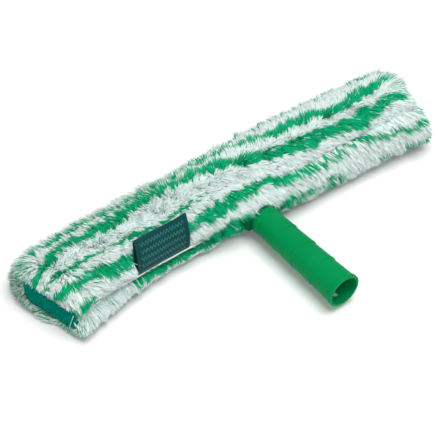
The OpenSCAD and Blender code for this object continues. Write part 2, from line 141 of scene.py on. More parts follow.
def section(x, t, layer):
    """Y and Z at x and at the angle t: layer 0 is the cloth, layer 1 the tips of the pile."""
    t = np.asarray(t, float) % 360
    c, s = np.cos(np.radians(t)), np.sin(np.radians(t))
    back, front = eased(x, PLACES, TIP_BACK), front_of(x, t)
    y1, z1 = oval(c, s, back, front, TIP_TOP, TIP_UNDER, FLOOR)
    y0, z0 = oval(c, s, back - 14, np.maximum(front - 10.5, 35.0),
                  TIP_TOP - 9, TIP_UNDER - 5.5, FLOOR + 3)
    k1 = 1 - 9.0 * furrow(x, t) / np.hypot(y1, z1)
    k0 = 1 - 3.0 * furrow(x, t) / np.hypot(y0, z0)
    y, z = np.where(layer > 0, y1 * k1, y0 * k0), np.where(layer > 0, z1 * k1, z0 * k0)
    # left of the handle the front is drawn in to the seam
    tuck = np.clip((x + 225) / 35, 0, 1) * np.clip((-38 - x) / 18, 0, 1)
    line = np.where(layer > 0, 39.2, 34.6) + 0.36 * np.maximum(z - 6, 0)
    held = np.where((c < 0) & (t < 181) & (z > 0), np.maximum(y, -line), y)
    # left of the label its lowest edge is turned out to the binding
    turned = tuck * np.clip((-80 - x) / 12, 0, 1) * np.where(c < 0, 1, 0)
    turned = turned * np.where(t < 181, np.clip((t - 166) / 11, 0, 1) ** 2, 0)
    y = y * (1 - tuck) + held * tuck
    return y - np.where(layer > 0, 0.0, 2.4) * turned, z + 4.0 * turned


def surface(u, t, layer):
    """Point of the sleeve. u runs along X and on over the closed ends, t round the section."""
    u, t = np.broadcast_arrays(np.asarray(u, float), np.asarray(t, float))
    side = np.where(u < 0, -1.0, 1.0)
    y, z = section(np.clip(u, -POCKET_HALF, POCKET_HALF), t, layer)
    over = np.maximum(np.abs(u) - POCKET_HALF, 0)
    a = np.minimum(over / END_ARC, 1) * math.pi / 2
    face = np.maximum(over - END_ARC, 0)
    r = np.hypot(y, z)
    # the section draws in over the rounding, less near the floor and more at the back
    ahead = np.clip(0.5 - y / 40, 0, 1)
    low = np.clip(-z / 12, 0, 1) * np.where(side < 0, 0.45 + 0.3 * ahead, 0.2)
    inset = np.where(layer > 0, 13.0, 10.0) * (1 - low)
    inset = inset + np.where(side > 0, 6.0, 3.5) * np.clip(y / 40, 0, 1)
    inset = inset * (1 - np.cos(a)) + face
    k = np.maximum(1 - inset / r, 0.02)
    y, z = y * k, z * k
    # how far the end stands out along X
    slant = np.where(side < 0, math.tan(math.radians(SLANT_LEFT)),
                     math.tan(math.radians(SLANT_RIGHT)))
    out = np.where(layer > 0, 18.5, np.where(side < 0, 13.5, 12.0))
    out = out + np.where(side < 0, -4.0 * np.clip(y / 50, 0, 1),
                         4.0 * np.exp(-((y - 12) / 16) ** 2))
    fuller = np.where(side < 0, np.where(layer > 0, 5.0, 0.5), 0.0) * np.clip(-z / 12, 0, 1)
    out = out + fuller * np.clip(y / 20 + 1, 0, 1) * np.clip((36 - y) / 14, 0, 1)
    x = np.clip(u, -POCKET_HALF, POCKET_HALF) + side * out * np.sin(a) - y * slant * np.sin(a)
    return np.stack([x, y + HEAD_Y, z], -1)


def arc_length(y, z):
    """Distance along a line of points, from its first point."""
    return np.concatenate([[0], np.cumsum(np.hypot(np.diff(y), np.diff(z)))])


# Perimeter coordinate s of the section in mm, 0 on top, measured on one reference oval
_t = np.linspace(-90, 270, 3601)
_s = arc_length(*oval(np.cos(np.radians(_t)), np.sin(np.radians(_t)),
                      55.0, 47.0, TIP_TOP, TIP_UNDER, FLOOR))
_s -= np.interp(90, _t, _s)


def s_of_t(t):
    t = (np.asarray(t, float) + 90) % 360 - 90
    return np.interp(t, _t, _s)


def t_of_s(s):
    return np.interp(s, _s, _t)


S_MIN, S_MAX = float(_s[0]), float(_s[-1])
S_BEHIND, S_BACK, S_FOLD, S_BRIDGE, S_FLAP_EDGE, S_LIP_EDGE, S_BELOW = (
    float(s_of_t(t)) for t in (-35, 0, FOLD_T, BRIDGE_T, 175, 181, 232))


class Field:
    """Sum of a few random waves over the cloth, about -1 to 1."""

    def __init__(self, size, seed, waves=14):
        r = np.random.default_rng(seed)
        angle = r.uniform(0, 2 * math.pi, waves)
        k = 2 * math.pi / (size * r.uniform(0.7, 1.6, waves))
        self.kx, self.ks, self.ph = k * np.cos(angle), k * np.sin(angle), r.uniform(0, 6.28, waves)
        self.amp = math.sqrt(2 / waves)

    def __call__(self, u, s):
        a = np.multiply.outer(u, self.kx) + np.multiply.outer(s, self.ks) + self.ph
        return np.sin(a).sum(-1) * self.amp * 0.7


ruffle_a, ruffle_b = Field(26, 1), Field(26, 2)
fine_a, fine_b = Field(9, 3), Field(9, 4)
shade_field = Field(20, 5)
edge_field = Field(7, 6)


def green_share(u, s):
    """1 on a green stripe, 0 on the white pile, for points of the cloth."""
    wobble = 1.2 * edge_field(u, s) + 1.0 * fine_a(u, s)
    out = np.zeros_like(s)
    for xs, low, high in STRIPES:
        a, b = eased(u, xs, low), eased(u, xs, high)
        inside = (s + wobble > a - 1.2) & (s + wobble < b + 1.4) & (b - a > 0.8)
        # a stripe that starts or ends near a closed end runs on over it
        inside &= (u > xs[0]) | (xs[0] < -210)
        inside &= (u < xs[-1]) | (xs[-1] > 220)
        out = np.maximum(out, inside)
    return out


def new_mesh(name, verts, quads, tris=()):
    """Smooth mesh object from arrays of points in mm, four-sided and three-sided faces."""
    me = bpy.data.meshes.new(name)
    nq, nt = len(quads), len(tris)
    loops = np.concatenate([np.asarray(f, np.int32).ravel() for f in (quads, tris)])
    me.vertices.add(len(verts))
    me.vertices.foreach_set("co", (np.asarray(verts, np.float32) * MM).ravel())
    me.loops.add(len(loops))
    me.loops.foreach_set("vertex_index", loops)
    starts = np.concatenate([np.arange(nq) * 4, nq * 4 + np.arange(nt) * 3]).astype(np.int32)
    me.polygons.add(nq + nt)
    me.polygons.foreach_set("loop_start", starts)
    me.update(calc_edges=True)
    me.validate()
    me.polygons.foreach_set("use_smooth", np.ones(nq + nt, bool))
    obj = bpy.data.objects.new(name, me)
    bpy.context.scene.collection.objects.link(obj)
    return obj


def outward(obj):
    """Turns all faces of a closed mesh outward."""
    bm = bmesh.new()
    bm.from_mesh(obj.data)
    bmesh.ops.recalc_face_normals(bm, faces=bm.faces)
    bm.to_mesh(obj.data)
    bm.free()


def shell(name, front, back):
    """Closed mesh between two grids of points of the same shape."""
    n, m = front.shape[:2]
    idx = np.arange(n * m).reshape(n, m)
    face = np.stack([idx[:-1, :-1], idx[1:, :-1], idx[1:, 1:], idx[:-1, 1:]], -1).reshape(-1, 4)
    rims = [np.stack([row[:-1], row[:-1] + n * m, row[1:] + n * m, row[1:]], -1)
            for row in (idx[:, 0], idx[:, -1], idx[0], idx[-1])]
    verts = np.concatenate([front.reshape(-1, 3), back.reshape(-1, 3)])
    obj = new_mesh(name, verts, np.concatenate([face, face[:, ::-1] + n * m] + rims))
    outward(obj)
    return obj


def paint(obj, colours):
    """Point colours of the cloth and the pile, linear RGB."""
    att = obj.data.color_attributes.new("pile", "FLOAT_COLOR", "POINT")
    rgba = np.concatenate([colours, np.ones((len(colours), 1))], 1).astype(np.float32)
    att.data.foreach_set("color", rgba.ravel())


# ---- materials


def material(name):
    m = bpy.data.materials.new(name)
    m.use_nodes = True
    nt = m.node_tree
    b = next(n for n in nt.nodes if n.type == "BSDF_PRINCIPLED")
    return m, nt, b


def coords(nt):
    return nt.nodes.new("ShaderNodeTexCoord").outputs["Object"]


def point_colour(nt):
    att = nt.nodes.new("ShaderNodeAttribute")
    att.attribute_name = "pile"
    return att.outputs["Color"]


def noise(nt, vector, scale, detail=3.0, rough=0.55):
    n = nt.nodes.new("ShaderNodeTexNoise")
    n.inputs["Scale"].default_value = scale
    n.inputs["Detail"].default_value = detail
    n.inputs["Roughness"].default_value = rough
    nt.links.new(vector, n.inputs["Vector"])
    return n.outputs["Fac"]


def ramp(nt, fac, stops):
    n = nt.nodes.new("ShaderNodeValToRGB")
    while len(n.color_ramp.elements) < len(stops):
        n.color_ramp.elements.new(0.5)
    for e, (pos, col) in zip(n.color_ramp.elements, stops):
        e.position = pos
        e.color = (*col, 1)
    nt.links.new(fac, n.inputs["Fac"])
    return n.outputs["Color"]


def mix(nt, fac, a, b, mode="MIX"):
    """Mixes two colours. Each of fac, a and b is a socket or a plain value."""
    n = nt.nodes.new("ShaderNodeMix")
    n.data_type = "RGBA"
    n.blend_type = mode
    for key, value in (("Factor", fac), ("A", a), ("B", b)):
        socket = next(i for i in n.inputs
                      if i.name == key and i.type in ("RGBA", "VALUE") and i.enabled)
        if hasattr(value, "links"):
            nt.links.new(value, socket)
        else:
            socket.default_value = (*value, 1) if hasattr(value, "__len__") else value
    return next(o for o in n.outputs if o.type == "RGBA" and o.enabled)


def multiply(nt, a, b):
    return mix(nt, 1.0, a, b, "MULTIPLY")


def greys(nt, fac, dark, pale):
    """Neutral tones that a colour is multiplied with."""
    return mix(nt, fac, (dark,) * 3, (pale,) * 3)


def bump(nt, height, strength, distance, target):
    n = nt.nodes.new("ShaderNodeBump")
    n.inputs["Strength"].default_value = strength
    n.inputs["Distance"].default_value = distance
    nt.links.new(height, n.inputs["Height"])
    nt.links.new(n.outputs["Normal"], target)


def math_node(nt, op, a, b=None):
    n = nt.nodes.new("ShaderNodeMath")
    n.operation = op
    for i, v in enumerate((a, b)):
        if v is None:
            continue
        if hasattr(v, "links"):
            nt.links.new(v, n.inputs[i])
        else:
            n.inputs[i].default_value = v
    return n.outputs[0]


def value_range(nt, value, a, b, c, d):
    """Turns the range a to b into the range c to d."""
    n = nt.nodes.new("ShaderNodeMapRange")
    nt.links.new(value, n.inputs["Value"])
    for key, v in (("From Min", a), ("From Max", b), ("To Min", c), ("To Max", d)):
        n.inputs[key].default_value = v
    return n.outputs["Result"]


GREEN_PLASTIC = (0.0, 0.25, 0.074)
# painted shade: the saddle's plastic is darker than the handle's, standing for the shade it lies in
# beside the handle's root
SHADED_FITTING_GREEN = (0.0, 0.115, 0.042)


def plastic(name, colour, rough):
    m, nt, b = material(name)
    co = coords(nt)
    soft = noise(nt, co, 45.0, 2.0)
    base = mix(nt, soft, tuple(c * 0.9 for c in colour), tuple(c * 1.1 + 0.001 for c in colour))
    nt.links.new(base, b.inputs["Base Color"])
    scuff = noise(nt, co, 420.0, 4.0, 0.65)
    nt.links.new(value_range(nt, scuff, 0.3, 0.75, rough - 0.06, rough + 0.12),
                 b.inputs["Roughness"])
    grain = noise(nt, co, 2600.0, 2.0)
    bump(nt, grain, 0.12, 0.0002, b.inputs["Normal"])
    b.inputs["Specular IOR Level"].default_value = 0.035
    return m


mat_plastic = plastic("green_moulded_plastic", GREEN_PLASTIC, 0.42)
mat_fitting_in_shade = plastic("fitting_plastic_painted_shade", SHADED_FITTING_GREEN, 0.5)


def steel():
    m, nt, b = material("zinc_screw")
    co = coords(nt)
    n = noise(nt, co, 900.0, 3.0)
    nt.links.new(mix(nt, n, (0.5, 0.5, 0.5), (0.72, 0.72, 0.7)), b.inputs["Base Color"])
    nt.links.new(value_range(nt, n, 0.2, 0.8, 0.25, 0.5), b.inputs["Roughness"])
    b.inputs["Metallic"].default_value = 1.0
    bump(nt, n, 0.1, 0.0001, b.inputs["Normal"])
    return m


def pile():
    m, nt, b = material("pile_yarn")
    n = noise(nt, coords(nt), 700.0, 2.0)
    nt.links.new(multiply(nt, point_colour(nt), greys(nt, n, 0.9, 1.08)), b.inputs["Base Color"])
    nt.links.new(value_range(nt, n, 0.2, 0.8, 0.6, 0.85), b.inputs["Roughness"])
    b.inputs["Specular IOR Level"].default_value = 0.08
    b.inputs["Sheen Weight"].default_value = 0.04
    b.inputs["Sheen Roughness"].default_value = 0.5
    return m


def weave(name, scale, tones=None, strength=0.5, depth=0.0004):
    """Woven cloth: two crossed waves make the threads. Without tones it takes the point colours."""
    m, nt, b = material(name)
    co = coords(nt)
    waves = []
    for direction in ("X", "Z"):
        w = nt.nodes.new("ShaderNodeTexWave")
        w.wave_type = "BANDS"
        w.bands_direction = direction
        w.inputs["Scale"].default_value = scale
        w.inputs["Distortion"].default_value = 0.6
        w.inputs["Detail"].default_value = 1.0
        nt.links.new(co, w.inputs["Vector"])
        waves.append(w.outputs["Fac"])
    height = math_node(nt, "ADD", waves[0], waves[1])
    n = noise(nt, co, 160.0, 3.0)
    if tones is None:
        base = multiply(nt, point_colour(nt), greys(nt, n, 0.8, 1.05))
    else:
        base = mix(nt, value_range(nt, height, 0.4, 1.6, 0.0, 1.0), *tones)
        base = multiply(nt, base, greys(nt, n, 0.88, 1.08))
    nt.links.new(base, b.inputs["Base Color"])
    nt.links.new(value_range(nt, n, 0.2, 0.8, 0.77, 0.93), b.inputs["Roughness"])
    b.inputs["Sheen Weight"].default_value = 0.2
    bump(nt, height, strength, depth, b.inputs["Normal"])
    return m


def felt():
    m, nt, b = material("scrub_felt")
    co = coords(nt)
    big, small = noise(nt, co, 130.0, 4.0), noise(nt, co, 620.0, 4.0, 0.75)
    base = ramp(nt, small, [(0.36, (0.0, 0.07, 0.052)), (0.51, (0.0, 0.18, 0.135)),
                            (0.68, (0.0, 0.34, 0.255))])
    nt.links.new(multiply(nt, base, greys(nt, big, 0.85, 1.12)), b.inputs["Base Color"])
    nt.links.new(value_range(nt, small, 0.2, 0.8, 0.85, 1.0), b.inputs["Roughness"])
    b.inputs["Specular IOR Level"].default_value = 0.0
    bump(nt, small, 0.8, 0.0006, b.inputs["Normal"])
    return m


ROW_PITCH = 7.2         # mm between the label's rows
ZIG_WIDTH = 1.8         # mm from a zigzag's low point to its high point
ZIG_SLOPE = 0.27        # rise of the zigzag in rows per mm


def label_cloth():
    """Dark woven tape with rows of a paler broken zigzag."""
    m, nt, b = material("label_weave")
    uv = nt.nodes.new("ShaderNodeUVMap")
    uv.uv_map = "weave"
    sep = nt.nodes.new("ShaderNodeSeparateXYZ")
    nt.links.new(uv.outputs["UV"], sep.inputs[0])
    u, v = sep.outputs["X"], sep.outputs["Y"]          # millimetres along and up the label

    def calc(op, a, c=None):
        return math_node(nt, op, a, c)

    row = calc("FRACT", calc("DIVIDE", v, ROW_PITCH))
    centre = calc("ADD", calc("MULTIPLY", calc("PINGPONG", u, ZIG_WIDTH), ZIG_SLOPE), 0.26)
    near = calc("ABSOLUTE", calc("SUBTRACT", row, centre))
    line = value_range(nt, near, 0.08, 0.17, 1.0, 0.0)
    broken = value_range(nt, noise(nt, uv.outputs["UV"], 0.3, 2.0), 0.35, 0.6, 0.55, 1.0)
    # the rows keep off the tape's edges, its foot and its fold
    margin = calc("MULTIPLY", calc("GREATER_THAN", u, 5.0), calc("LESS_THAN", u, 57.0))
    margin = calc("MULTIPLY", margin, calc("LESS_THAN", v, 36.5))
    margin = calc("MULTIPLY", margin, calc("GREATER_THAN", v, 2.0))
    mark = calc("MULTIPLY", calc("MULTIPLY", line, broken), margin)
    thread = nt.nodes.new("ShaderNodeTexWave")
    thread.inputs["Scale"].default_value = 0.45
    thread.bands_direction = "DIAGONAL"
    nt.links.new(uv.outputs["UV"], thread.inputs["Vector"])
    grain = noise(nt, uv.outputs["UV"], 1.7, 3.0)
    base = mix(nt, thread.outputs["Fac"], (0.0, 0.038, 0.037), (0.0, 0.064, 0.06))
    base = mix(nt, mark, base, (0.035, 0.17, 0.18))
    nt.links.new(multiply(nt, base, greys(nt, grain, 0.8, 1.15)), b.inputs["Base Color"])
    nt.links.new(value_range(nt, grain, 0.2, 0.8, 0.5, 0.7), b.inputs["Roughness"])
    b.inputs["Specular IOR Level"].default_value = 0.12
    b.inputs["Sheen Weight"].default_value = 0.03
    height = calc("ADD", calc("MULTIPLY", mark, 0.6), thread.outputs["Fac"])
    bump(nt, height, 0.5, 0.0002, b.inputs["Normal"])
    return m


mat_steel = steel()
mat_pile = pile()
mat_backing = weave("pile_backing", 380.0)
mat_tongue = weave("tongue_cloth", 300.0, ((0.62, 0.66, 0.64), (0.78, 0.81, 0.8)))
mat_tape = weave("closure_tape", 620.0, ((0.6, 0.62, 0.61), (0.84, 0.85, 0.85)), 0.9, 0.0006)
mat_binding = weave("binding_tape", 520.0, ((0.72, 0.76, 0.75), (0.86, 0.9, 0.89)))
mat_thread = weave("stitch_thread", 1400.0, ((0.7, 0.75, 0.74), (0.88, 0.92, 0.91)))
mat_felt = felt()
mat_label = label_cloth()

# pieces that show as the solids they are
for m, names in (
        (mat_plastic, ("handle", "crossbar", "end_cap_left", "end_cap_right")),
        (mat_fitting_in_shade, ("tee_saddle",)),
        (mat_steel, ("saddle_screws",)),
        (mat_tongue, ("closure_tongue_left", "closure_tongue_right")),
        (mat_tape, ("loop_tape_left", "loop_tape_right", "hook_tape_left", "hook_tape_right"))):
    for name in names:
        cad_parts[name].data.materials.clear()
        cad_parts[name].data.materials.append(m)


# ---- cloth under the pile

WHITE = np.array([0.85, 0.98, 0.945])
GREEN = np.array([0.002, 0.46, 0.21])
# painted shade: the cloth under the pile is darker than its yarn, for the shade deep among the
# tufts
CLOTH_WHITE_IN_SHADE = np.array([0.62, 0.76, 0.71])
CLOTH_GREEN_IN_SHADE = np.array([0.004, 0.26, 0.125])
CLOTH_INSIDE = np.array([0.62, 0.66, 0.64])


def pocket_wall(t):
    """Y and Z of the pocket for the bar: a rectangle with rounded corners."""
    c, s = np.cos(np.radians(t)), np.sin(np.radians(t))
    y = np.where(c >= 0, 31.0, 33.4) * np.sign(c) * np.abs(c) ** 0.2
    z = 9.5 * np.sign(s) * np.abs(s) ** 0.2
    return y, z


def cloth_colours(u, t):
    share = green_share(u.ravel(), s_of_t(t.ravel()))[:, None]
    return CLOTH_WHITE_IN_SHADE * (1 - share) + CLOTH_GREEN_IN_SHADE * share


def finish_cloth(obj, body, node_name):
    obj.data.materials.append(mat_backing)
    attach(obj, body)
    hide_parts(node_name)


def cloth_shell(name, us, ts, ti, body, node_name):
    """Closed strip of the sleeve, from the angles ts of its cloth to ti of the pocket's wall."""
    U, T = np.meshgrid(us, ts, indexing="ij")
    y, z = pocket_wall(ti)
    wall = np.stack(np.broadcast_arrays(U, y + HEAD_Y, z), -1)
    obj = shell(name, surface(U, T, 0), wall)
    paint(obj, np.concatenate([cloth_colours(U, T), np.tile(CLOTH_INSIDE, (U.size, 1))]))
    finish_cloth(obj, body, node_name)


cloth_shell("sleeve_wrap", np.linspace(-POCKET_HALF, POCKET_HALF, 176),
            np.linspace(190, 360 + FOLD_T, 110), np.linspace(240, 360 + FOLD_T, 110),
            "scrubber", "pile_cover")
cloth_shell("sleeve_bridge", np.linspace(-SLOT, SLOT, 22), np.linspace(FOLD_T, BRIDGE_T, 24),
            np.linspace(FOLD_T, 140, 24), "scrubber", "pile_bridge")
for side, tag in SIDES:
    us = side * np.linspace(SLOT + SEAM_GAP, POCKET_HALF - SEAM_GAP, 80)
    cloth_shell("sleeve_flap_" + tag, us, np.linspace(FOLD_T + 0.3, FLAP_EDGE_T, 40),
                np.linspace(FOLD_T + 0.3, 179.5, 40), "flap_" + tag, "closure_flap_" + tag)
    cloth_shell("sleeve_lip_" + tag, us, np.linspace(180.5, 190, 10),
                np.linspace(180.5, 240, 10), "scrubber", "closure_lip_" + tag)


PAD_L, PAD_H = 69.0, 28.0       # length and height of a scrub pad
PAD_FWD, PAD_Z = 13.5, -1.8     # its middle, forward and up from the end's middle


def end_plane(side):
    """Middle of the end's face, its outward and its forward direction."""
    slant = math.radians(SLANT_LEFT if side < 0 else SLANT_RIGHT)
    base = np.array([side * (POCKET_HALF + (14.6 if side < 0 else 13.2)), HEAD_Y, 0.0])
    out = np.array([side * math.cos(slant), side * math.sin(slant), 0.0])
    fwd = np.array([math.sin(slant), -math.cos(slant), 0.0])
    return base, out, fwd


def on_pad(points, side):
    """Which points lie over the scrub pad, seen along X, and how far out they are."""
    base, out, fwd = end_plane(side)
    d = points - base
    z = points[:, 2] - PAD_Z
    over = (np.abs(d @ fwd - PAD_FWD) < PAD_L / 2) & (z < PAD_H / 2 - 1.5) & (z > -PAD_H / 2 + 1.0)
    return over, d @ out


def end_cloth(side, tag):
    """The closed end of the sleeve, down to the face that carries the scrub pad."""
    us = side * np.concatenate([np.linspace(POCKET_HALF - 0.4, POCKET_HALF + END_ARC, 14),
                                POCKET_HALF + END_ARC + np.linspace(1.5, 30, 12)])
    ts = np.linspace(0, 360, 121)[:-1]
    U, T = np.meshgrid(us, ts, indexing="ij")
    pts = surface(U, T, 0)
    n, m = pts.shape[:2]
    idx = np.arange(n * m).reshape(n, m)
    nxt = np.roll(idx, -1, axis=1)
    quads = np.stack([idx[:-1], idx[1:], nxt[1:], nxt[:-1]], -1).reshape(-1, 4)
    verts = np.concatenate([pts.reshape(-1, 3), [pts[-1].mean(0)], [pts[0].mean(0)]])
    tris = np.concatenate([
        np.stack([idx[-1], np.full(m, n * m), nxt[-1]], -1),
        np.stack([idx[0], nxt[0], np.full(m, n * m + 1)], -1)])
    obj = new_mesh("sleeve_end_" + tag, verts, quads, tris)
    outward(obj)
    paint(obj, np.concatenate([cloth_colours(U, T), np.tile(CLOTH_WHITE_IN_SHADE, (2, 1))]))
    finish_cloth(obj, "scrubber", "pile_end_" + tag)


for side, tag in SIDES:
    end_cloth(side, tag)


# ---- pile

DENSITY = 0.92          # mm between tufts


def unit(v):
    return v / np.maximum(np.linalg.norm(v, axis=-1, keepdims=True), 1e-9)


# a tuft's rings: how far along it they stand, and how thick it is there
RINGS = ((0.0, 0.9), (0.4, 1.15), (0.75, 0.8))
LEVELS = [0.0, 0.4, 0.75, 1.0]
# painted shade along each tuft: darker at the root, where the tufts shade each other, and a little
# paler at the tip; the next line darkens the root points further, with a green tint
SHADE_ALONG_TUFT = np.array([0.85] * 3 + [0.96] * 3 + [1.01] * 3 + [1.03])    # tone of its ten points
ROOT_SHADE = np.array([0.68, 0.86, 0.8])


def tuft_map(n):
    """Map of n tufts: one cell for each, with its root below and its tip above."""
    per_side = int(math.ceil(math.sqrt(n)))
    cell = 1.0 / per_side
    margin = 0.12 * cell
    cx, cy = (np.arange(n) % per_side) * cell, (np.arange(n) // per_side) * cell
    origin = np.stack([cx + margin, cy + margin], -1)
    quads = []
    for k in range(2):
        for j in range(3):
            u0, u1 = j / 3, (j + 1) / 3
            v0, v1 = LEVELS[k], LEVELS[k + 1]
            quads.append([[u0, v0], [u1, v0], [u1, v1], [u0, v1]])
    tris = [[[j / 3, LEVELS[2]], [(j + 1) / 3, LEVELS[2]], [(j + 0.5) / 3, 1.0]] for j in range(3)]
    tris.append([[0.1, 0.0], [0.5, 0.04], [0.9, 0.0]])
    w = cell - 2 * margin
    q, t = (origin[:, None, None, :] + np.array(corners)[None] * w for corners in (quads, tris))
    return np.concatenate([q.reshape(-1, 2), t.reshape(-1, 2)]).astype(np.float32)


def tufts(name, roots, tips, normals, share, body, width, seed, dim):
    """Closed, tapered, bent tufts from their roots to their tips."""
    r = np.random.default_rng(seed)
    n = len(roots)
    length = np.linalg.norm(tips - roots, axis=1)
    p1 = roots + normals * (length * 0.42)[:, None]
    p2 = tips + (p1 - tips) * 0.38
    p2[:, 2] -= 0.02 * length
    rings = []
    spin = r.uniform(0, 2 * math.pi, n)
    for q, w in RINGS:
        a, b, c, d = (1 - q) ** 3, 3 * q * (1 - q) ** 2, 3 * q * q * (1 - q), q ** 3
        p = a * roots + b * p1 + c * p2 + d * tips
        tan = unit(3 * (1 - q) ** 2 * (p1 - roots) + 6 * q * (1 - q) * (p2 - p1)
                   + 3 * q * q * (tips - p2))
        side = unit(np.cross(tan, np.array([0.31, 0.17, 0.93])))
        up = np.cross(tan, side)
        ring = []
        for j in range(3):
            ang = spin + j * 2 * math.pi / 3
            ring.append(p + (side * np.cos(ang)[:, None] + up * np.sin(ang)[:, None]) * (width * w))
        rings.append(np.stack(ring, 1))
    verts = np.concatenate([*rings, tips[:, None, :]], 1)          # ten points a tuft
    # the light falls on the lock of pile as a whole more than on each thread
    facing = (normals * 0.4 + np.array([0, -0.1, 0.3]) + r.normal(0, 0.12, (n, 3)))[:, None, :]
    round_it = [unit(ring - ring.mean(1, keepdims=True)) * 0.55 + facing for ring in rings]
    shading = unit(np.concatenate(round_it + [facing], 1))
    base = (np.arange(n) * 10)[:, None]
    quads = []
    for k in range(2):
        for j in range(3):
            j2 = (j + 1) % 3
            quads.append(base + np.array([k * 3 + j, k * 3 + j2, k * 3 + 3 + j2, k * 3 + 3 + j]))
    tris = [base + np.array([6 + j, 6 + (j + 1) % 3, 9]) for j in range(3)]
    tris.append(base + np.array([2, 1, 0]))
    quads, tris = np.stack(quads, 1).reshape(-1, 4), np.stack(tris, 1).reshape(-1, 3)
    obj = new_mesh(name, verts.reshape(-1, 3), quads, tris)
    obj.data.normals_split_custom_set_from_vertices(shading.reshape(-1, 3))
    obj.data.uv_layers.new(name="OFBake").data.foreach_set("uv", tuft_map(n).ravel())

    # colour: painted shade darkens the root and the tip is painted paler, and the tone differs a
    # little at random from tuft to tuft
    tone = np.where(share > 0, np.clip(r.normal(1.0, 0.16, n), 0.6, 1.4),
                    np.clip(r.normal(0.99, 0.05, n), 0.8, 1.04))
    tone = (np.where(r.uniform(0, 1, n) < 0.06, tone * 0.75, tone) * dim)[:, None]
    colour = (WHITE * (1 - share[:, None]) + GREEN * share[:, None]) * tone
    full = colour[:, None, :] * SHADE_ALONG_TUFT[None, :, None]
    full[:, :3, :] *= ROOT_SHADE
    paint(obj, np.clip(full, 0, 0.985).reshape(-1, 3))
    obj.data.materials.append(mat_pile)
    if body:
        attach(obj, body)
    return obj


def scatter(u0, u1, s0, s1, seed, density):
    """Evenly spread points of the cloth, each moved a little at random."""
    r = np.random.default_rng(seed)
    nu, ns = int((u1 - u0) / density), int((s1 - s0) / density)
    U, S = np.meshgrid((np.arange(nu) + 0.5) / nu, (np.arange(ns) + 0.5) / ns, indexing="ij")
    U = u0 + (u1 - u0) * (U + r.uniform(-0.5, 0.5, U.shape) / nu)
    S = s0 + (s1 - s0) * (S + r.uniform(-0.5, 0.5, S.shape) / ns)
    return U.ravel(), S.ravel()


CLUMP = 4.6             # mm between the locks of pile


def lock_middle(a, b):
    """Middle of the lock of pile in the cell a, b, at a fixed place that looks random."""
    h = np.sin(a * 127.1 + b * 311.7 + 3.1) * 43758.5453
    k = np.sin(a * 269.5 + b * 183.3 + 1.7) * 24634.6345
    return ((a + 0.5 + 0.42 * (2 * (h - np.floor(h)) - 1)) * CLUMP,
            (b + 0.5 + 0.42 * (2 * (k - np.floor(k)) - 1)) * CLUMP)


def clump_shift(u, s):
    """Way from each tuft to the middle of its lock of pile."""
    gu, gs = np.floor(u / CLUMP), np.floor(s / CLUMP)
    best = np.full(len(u), 1e9)
    du, ds = np.zeros(len(u)), np.zeros(len(u))
    for i in (-1, 0, 1):
        for j in (-1, 0, 1):
            cu, cs = lock_middle(gu + i, gs + j)
            d = (cu - u) ** 2 + (cs - s) ** 2
            near = d < best
            best = np.where(near, d, best)
            du, ds = np.where(near, cu - u, du), np.where(near, cs - s, ds)
    return du, ds


def lay(u, s):
    """How far a tuft leans along u and s: combed to the front and down, splayed at the ends."""
    t = t_of_s(s)
    combed = 9.0 * np.clip((s + 46) / 42, -1, 1)
    # shorter leans beside the opening, on the lip and below
    seam = 3.0 + 2.5 * np.clip((u + 90) / 10, 0, 1)
    combed = np.where((t > 150) & (t <= 178) & (u < -55), seam, combed)
    lip = np.clip((t - 178) / 10, 0, 1)
    combed = np.where((t > 178) & (t < 215), np.where(u < -40, -3.5 + 9.5 * lip, 6.0), combed)
    combed = np.where((t > 215) | (t < -20), 4.0 * np.sign(s), combed)
    # the back is calmer than the front, and its left half lies flat
    end = np.clip((np.abs(u) - 195) / 30, 0, 1)
    calm = 1 - 0.6 * np.clip((-15 - s) / 15, 0, 1) * (1 - end)
    flat = np.clip((-u - 50) / 40, 0, 1) * np.clip((-16 - s) / 10, 0, 1)
    flat = flat * np.clip((s + 62) / 12, 0, 1)
    du = 0.6 + np.sign(u) * 9.0 * end ** 1.5 - 8.5 * flat * (1 - end)
    du = du + calm * (3.0 * ruffle_a(u, s) + 1.8 * fine_a(u, s))
    ds = combed + calm * (3.0 * ruffle_b(u, s) + 1.8 * fine_b(u, s))
    return du, ds, combed


# line of the label's front, from its foot up
LABEL_X, LABEL_W, LABEL_H = -117.0, 62.0, 39.0
LEAN_Y = np.array([-38.0, -38.6, -37.4, -34.9, -31.6, -27.6, -23.0])
LEAN_Z = np.array([4.4, 11.5, 19.0, 26.5, 33.5, 40.0, 46.0])


def loop_gap(z):
    """Space between the label's two leaves: sewn together below, folded at the top."""
    return 1.4 + 5.0 * np.sin(np.clip((z - 4.0) / 36.0, 0, 1) * math.pi) ** 0.8


def under_label(p):
    """Presses points back behind the label."""
    x, y, z = p[:, 0], p[:, 1] - HEAD_Y, p[:, 2]
    inside = (np.abs(x - LABEL_X - 2) < 33) & (z > 1) & (y < -10)
    limit = np.interp(z, LEAN_Z, LEAN_Y) + 1.3 + loop_gap(z)
    q = p.copy()
    q[:, 1] = np.where(inside, np.maximum(y, limit), y) + HEAD_Y
    return q


def held_at_seam(u, s, s_tip):
    """Keeps the tips of the flap's and the lip's pile on their own side of the bound edge."""
    beside = (u < -58) & (np.abs(u) < POCKET_HALF)
    stop = S_FLAP_EDGE - 0.5 + 3.0 * np.clip((u + 90) / 10, 0, 1)
    s_tip = np.where(beside & (s < S_FLAP_EDGE), np.minimum(s_tip, stop), s_tip)
    return np.where(beside & (s > S_FLAP_EDGE), np.maximum(s_tip, S_FLAP_EDGE + 1.5), s_tip)


